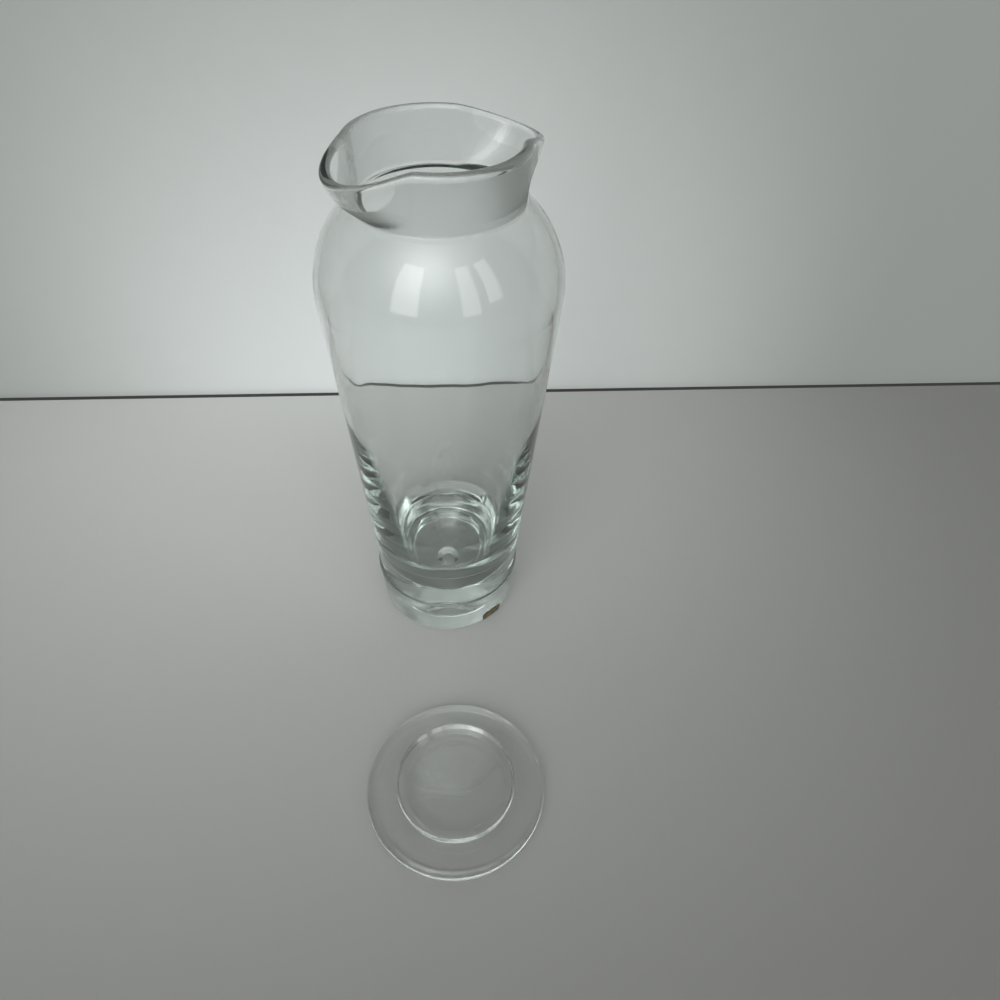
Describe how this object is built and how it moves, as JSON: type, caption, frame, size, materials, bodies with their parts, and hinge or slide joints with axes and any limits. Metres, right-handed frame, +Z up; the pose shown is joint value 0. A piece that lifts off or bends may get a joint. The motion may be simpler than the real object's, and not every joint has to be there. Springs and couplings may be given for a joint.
{
  "type": "glass decanter with lid",
  "caption": "Tall clear glass decanter with a heavy solid base, round shoulder, flared mouth with opposite pouring lips and a loose stepped glass lid.",
  "frame": {"origin": "centre of the decanter's flat underside, on the table", "axes": "+Z up along the decanter's axis, the lid lies towards -Y"},
  "size_m": [0.0988, 0.214, 0.245],
  "materials": {
    "clear_glass": "polished clear",
    "lid_glass": "polished clear",
    "bare_foil": "dull gold foil, no print"
  },
  "bodies": {
    "decanter": {"decanter_body": "clear_glass", "foil_label": "bare_foil"},
    "lid": {"lid": "lid_glass"}
  },
  "joints": [
    {"name": "lid_lift", "type": "slide", "parent": "decanter", "child": "lid", "axis": [0, 0, 1], "range_m": [0, 0.26]}
  ]
}
